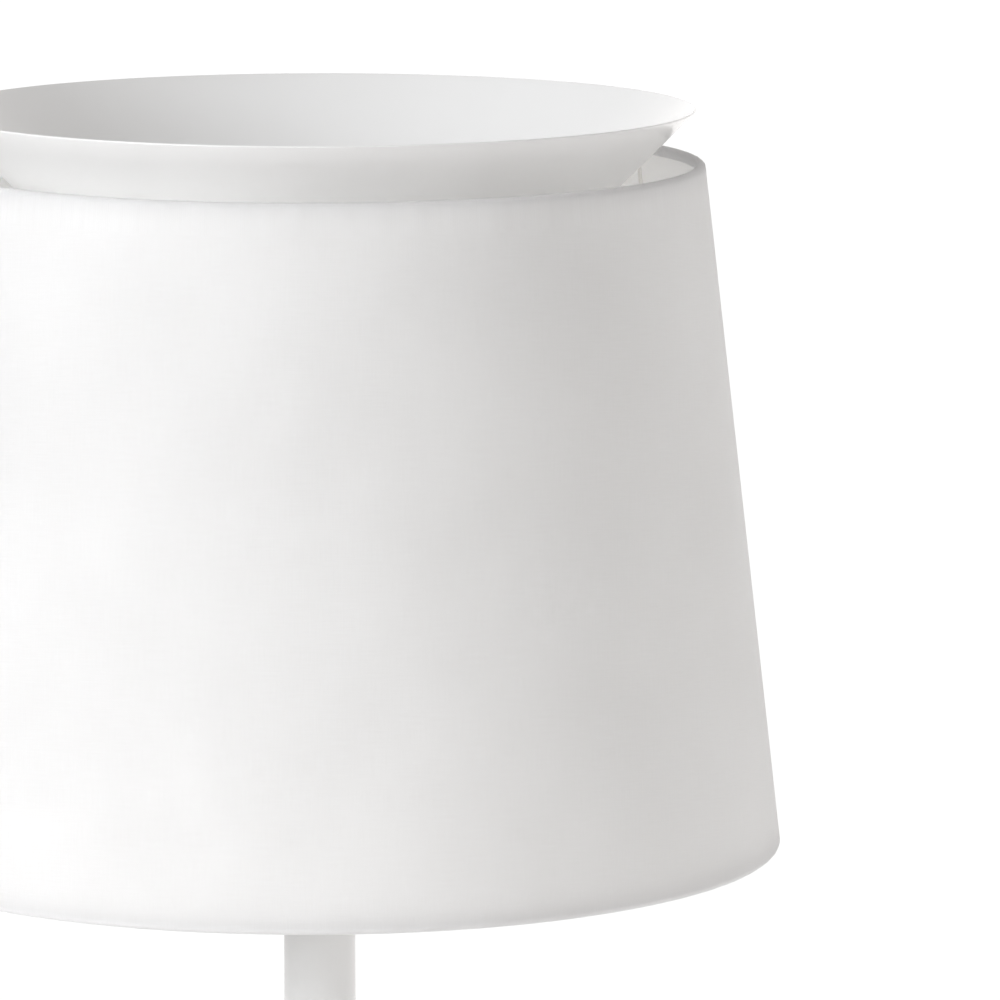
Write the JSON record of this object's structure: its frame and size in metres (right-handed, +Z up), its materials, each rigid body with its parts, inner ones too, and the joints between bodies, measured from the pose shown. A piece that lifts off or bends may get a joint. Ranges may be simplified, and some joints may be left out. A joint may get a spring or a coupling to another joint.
{
  "type": "tripod floor lamp",
  "caption": "Floor lamp with folding tripod legs, a straight stem, a tapered fabric shade and a wide open reflector cone that rises out of the shade's top.",
  "frame": {"origin": "on the floor under the stem's axis, at the centre of the base of the lamp's bounding box", "axes": "+Z up along the stem, +Y towards the leg at the back, +X to the right seen from the front"},
  "size_m": [0.4494, 0.4587, 1.55],
  "materials": {
    "shade_fabric": "fine plain-weave white fabric, matt",
    "liner_film": "translucent white film, matt",
    "white_paint": "satin white powder coat on steel",
    "white_alu": "satin white paint on 1 mm aluminium",
    "steel_wire": "cream epoxy coat on steel wire",
    "zinc_steel": "bright zinc plate",
    "white_plastic": "moulded, satin",
    "black_rubber": "moulded, matt",
    "brass": "nickel-free, plain",
    "aluminium": "satin",
    "opal": "opal polycarbonate, matt",
    "ceramic": "unglazed insulating ceramic",
    "glass_black": "black insulator",
    "circuit_board": "green solder resist",
    "wire_brown": "brown insulation",
    "wire_blue": "blue insulation",
    "nylon": "plain nylon"
  },
  "bodies": {
    "stand": {"cable_gland": "white_plastic", "hub_body": "white_paint", "lampholder_base": "white_plastic", "lampholder_centre_contact": "brass", "lampholder_insert": "ceramic", "lampholder_shell": "brass", "lampholder_skirt": "white_plastic", "leg_friction_washers": "nylon", "leg_pivot_bolts": "zinc_steel", "leg_pivot_nuts": "zinc_steel", "nipple_nuts": "zinc_steel", "reflector_bracket": "white_paint", "reflector_cone": "white_alu", "reflector_nuts": "zinc_steel", "reflector_screws": "zinc_steel", "shade_bottom_ring": "white_paint", "shade_carrier_arms": "steel_wire", "shade_carrier_washer": "white_paint", "shade_fabric": "shade_fabric", "shade_liner": "liner_film", "shade_ring_nut": "white_plastic", "shade_top_ring": "white_paint", "stem_set_screws": "zinc_steel", "stem_top_plug": "white_paint", "stem_tube": "white_paint", "supply_wire_live": "wire_brown", "supply_wire_neutral": "wire_blue", "terminal_block": "nylon", "threaded_nipple": "zinc_steel"},
    "bulb": {"bulb_globe": "opal", "bulb_housing": "white_plastic", "bulb_cap": "aluminium", "bulb_insulator": "glass_black", "bulb_tip_contact": "brass", "bulb_led_board": "aluminium", "bulb_driver_board": "circuit_board"},
    "switch_bar": {"switch_bar": "white_plastic"},
    "leg_1": {"leg_1_fitting": "white_paint", "leg_1_tube": "white_paint", "leg_1_foot": "black_rubber"},
    "leg_2": {"leg_2_fitting": "white_paint", "leg_2_tube": "white_paint", "leg_2_foot": "black_rubber"},
    "leg_3": {"leg_3_fitting": "white_paint", "leg_3_tube": "white_paint", "leg_3_foot": "black_rubber"}
  },
  "joints": [
    {"name": "leg_1_fold", "type": "hinge", "parent": "stand", "child": "leg_1", "pos_m": [0, 0.029, 1.035], "axis": [-1, 0, 0], "range_deg": [0, 10.5]},
    {"name": "leg_2_fold", "type": "hinge", "parent": "stand", "child": "leg_2", "pos_m": [-0.02511, -0.0145, 1.035], "axis": [0.5, -0.866, 0], "range_deg": [0, 10.5]},
    {"name": "leg_3_fold", "type": "hinge", "parent": "stand", "child": "leg_3", "pos_m": [0.02511, -0.0145, 1.035], "axis": [0.5, 0.866, 0], "range_deg": [0, 10.5]},
    {"name": "bulb_turn", "type": "hinge", "parent": "stand", "child": "bulb", "pos_m": [0, 0, 1.36], "axis": [0, 0, 1], "range_deg": [0, 1260]},
    {"name": "switch_push", "type": "slide", "parent": "stand", "child": "switch_bar", "axis": [-1, 0, 0], "range_m": [0, 0.007]}
  ]
}
